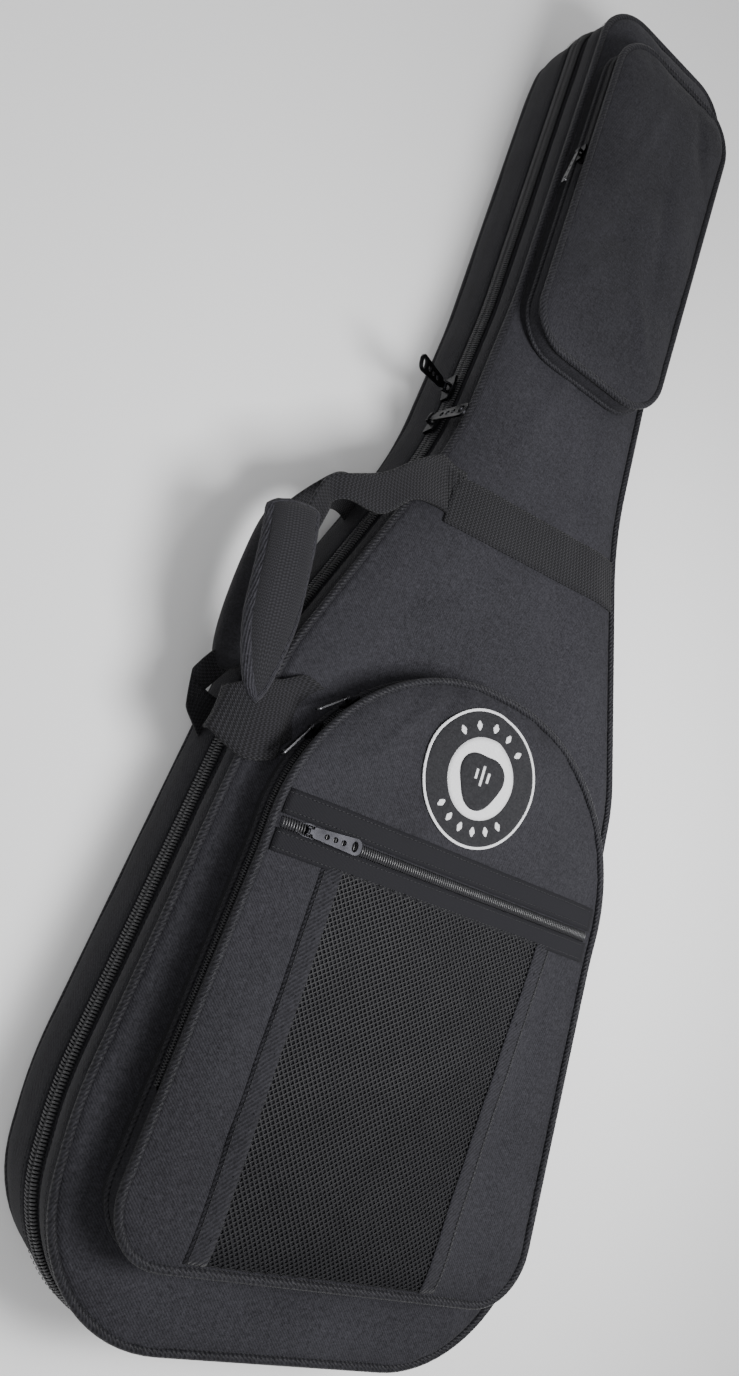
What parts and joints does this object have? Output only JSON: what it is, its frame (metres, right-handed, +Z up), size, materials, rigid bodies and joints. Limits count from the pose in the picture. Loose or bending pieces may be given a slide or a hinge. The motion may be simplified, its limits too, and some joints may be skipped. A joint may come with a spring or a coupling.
{
  "type": "padded gig bag",
  "caption": "Padded soft case for an electric guitar, with a zipped lid, two zipped outer pockets, a mesh pocket and carrying handles.",
  "frame": {"origin": "on the back face, on the centre line, at mid length", "axes": "+Y from the bottom seam to the head, +Z up out of the front panel, +X to the right seen from the front"},
  "size_m": [0.3835, 1.0648, 0.1212],
  "materials": {
    "shell_fabric": "woven polyester, matte",
    "foam": "closed-cell foam",
    "lining": "brushed lining",
    "piping": "woven piping",
    "zip_tape": "flat grosgrain tape",
    "zip_coil": "nylon coil",
    "webbing": "coarse woven webbing",
    "mesh": "knitted mesh",
    "badge": "embroidered thread",
    "grip_fabric": "padded knit",
    "zip_metal": "gun-metal"
  },
  "bodies": {
    "tray": {"back_panel": "shell_fabric", "back_foam": "foam", "rear_lining": "lining", "rear_gusset": "shell_fabric", "rear_gusset_foam": "foam", "rear_piping": "piping", "rear_zip_tape": "zip_tape", "rear_zip_coil": "zip_coil", "cloth_hinge": "shell_fabric", "neck_cradle": "foam", "neck_strap": "webbing"},
    "lid": {"front_panel": "shell_fabric", "front_foam": "foam", "front_lining": "lining", "front_gusset": "shell_fabric", "front_gusset_foam": "foam", "front_piping": "piping", "front_zip_tape": "zip_tape", "front_zip_coil": "zip_coil", "upper_band": "webbing", "lower_band": "webbing", "big_pocket_gusset": "shell_fabric", "big_pocket_rear_zip": "zip_coil", "big_pocket_lower_face": "shell_fabric", "big_pocket_lower_piping": "piping", "mesh_panel_lower": "mesh", "mesh_side_tapes_lower": "zip_tape", "head_pocket_gusset": "shell_fabric", "head_pocket_rear_zip": "zip_coil", "head_pocket_lower_face": "shell_fabric", "head_pocket_lower_piping": "piping"},
    "big_flap": {"big_pocket_face": "shell_fabric", "big_pocket_piping": "piping", "big_pocket_flap_gusset": "shell_fabric", "big_pocket_front_zip": "zip_coil", "mesh_panel": "mesh", "mesh_side_tapes": "zip_tape", "mesh_zip_tapes": "zip_tape", "mesh_zip_coil": "zip_coil", "badge": "badge"},
    "head_flap": {"head_pocket_face": "shell_fabric", "head_pocket_piping": "piping", "head_pocket_flap_gusset": "shell_fabric", "head_pocket_front_zip": "zip_coil"},
    "front_handle": {"front_handle_webbing": "webbing", "front_handle_grip": "grip_fabric"},
    "rear_handle": {"rear_handle_webbing": "webbing", "rear_handle_grip": "grip_fabric"},
    "main_slider_upper": {"main_slider_upper": "zip_metal"},
    "main_pull_upper": {"main_pull_upper": "zip_metal"},
    "main_slider_lower": {"main_slider_lower": "zip_metal"},
    "main_pull_lower": {"main_pull_lower": "zip_metal"},
    "big_pocket_slider_upper": {"big_pocket_slider_upper": "zip_metal"},
    "big_pocket_pull_upper": {"big_pocket_pull_upper": "zip_metal"},
    "big_pocket_slider_lower": {"big_pocket_slider_lower": "zip_metal"},
    "big_pocket_pull_lower": {"big_pocket_pull_lower": "zip_metal"},
    "head_pocket_slider": {"head_pocket_slider": "zip_metal"},
    "head_pocket_pull": {"head_pocket_pull": "zip_metal"},
    "mesh_pocket_slider": {"mesh_pocket_slider": "zip_metal"},
    "mesh_pocket_pull": {"mesh_pocket_pull": "zip_metal"}
  },
  "joints": [
    {"name": "lid_hinge", "type": "hinge", "parent": "tray", "child": "lid", "pos_m": [0.17147, -0.25294, 0.05], "axis": [-0.0937, 0.9956, 0], "range_deg": [0, 150]},
    {"name": "big_flap_fold", "type": "hinge", "parent": "lid", "child": "big_flap", "pos_m": [0, -0.38, 0.115], "axis": [1, 0, 0], "range_deg": [0, 110]},
    {"name": "head_flap_fold", "type": "hinge", "parent": "lid", "child": "head_flap", "pos_m": [0, 0.345, 0.108], "axis": [1, 0, 0], "range_deg": [0, 110]},
    {"name": "front_handle_swing", "type": "hinge", "parent": "lid", "child": "front_handle", "pos_m": [-0.115, -0.055, 0.086], "axis": [0.3044, 0.9525, 0], "range_deg": [0, 50]},
    {"name": "rear_handle_swing", "type": "hinge", "parent": "tray", "child": "rear_handle", "pos_m": [-0.142, -0.058, 0.015], "axis": [0.2926, 0.9558, -0.0293], "range_deg": [-20, 10]},
    {"name": "main_slide_upper", "type": "slide", "parent": "lid", "child": "main_slider_upper", "axis": [0.0283, 0.9996, 0], "range_m": [0, 0.24]},
    {"name": "main_pull_upper_swing", "type": "hinge", "parent": "main_slider_upper", "child": "main_pull_upper", "pos_m": [-0.0912, 0.13915, 0.05], "axis": [-0.1613, 0.9797, 0.1193], "range_deg": [-40, 60]},
    {"name": "main_slide_lower", "type": "slide", "parent": "lid", "child": "main_slider_lower", "axis": [-0.2425, -0.9701, 0], "range_m": [0, 0.03]},
    {"name": "main_pull_lower_swing", "type": "hinge", "parent": "main_slider_lower", "child": "main_pull_lower", "pos_m": [-0.09354, 0.10931, 0.05], "axis": [-0.2494, -0.9626, -0.1062], "range_deg": [0, 60]},
    {"name": "big_pocket_slide_upper", "type": "slide", "parent": "lid", "child": "big_pocket_slider_upper", "axis": [0.6423, 0.7664, 0], "range_m": [0, 0.02]},
    {"name": "big_pocket_pull_upper_swing", "type": "hinge", "parent": "big_pocket_slider_upper", "child": "big_pocket_pull_upper", "pos_m": [-0.11092, -0.12706, 0.101], "axis": [0, 0, -1], "range_deg": [-10, 60]},
    {"name": "big_pocket_slide_lower", "type": "slide", "parent": "lid", "child": "big_pocket_slider_lower", "axis": [-0.4472, -0.8944, 0], "range_m": [0, 0.03]},
    {"name": "big_pocket_pull_lower_swing", "type": "hinge", "parent": "big_pocket_slider_lower", "child": "big_pocket_pull_lower", "pos_m": [-0.12845, -0.15378, 0.101], "axis": [0, 0, 1], "range_deg": [-10, 12]},
    {"name": "head_pocket_slide", "type": "slide", "parent": "lid", "child": "head_pocket_slider", "axis": [0, 1, 0], "range_m": [0, 0.085]},
    {"name": "head_pocket_pull_swing", "type": "hinge", "parent": "head_pocket_slider", "child": "head_pocket_pull", "pos_m": [-0.0703, 0.352, 0.096], "axis": [0, 0, -1], "range_deg": [-5, 90]},
    {"name": "mesh_pocket_slide", "type": "slide", "parent": "big_flap", "child": "mesh_pocket_slider", "axis": [1, 0, 0], "range_m": [0, 0.225]},
    {"name": "mesh_pocket_pull_swing", "type": "hinge", "parent": "mesh_pocket_slider", "child": "mesh_pocket_pull", "pos_m": [-0.116, -0.216, 0.1183], "axis": [-0.0199, 0.9998, -0.0012], "range_deg": [-90, 0]}
  ]
}
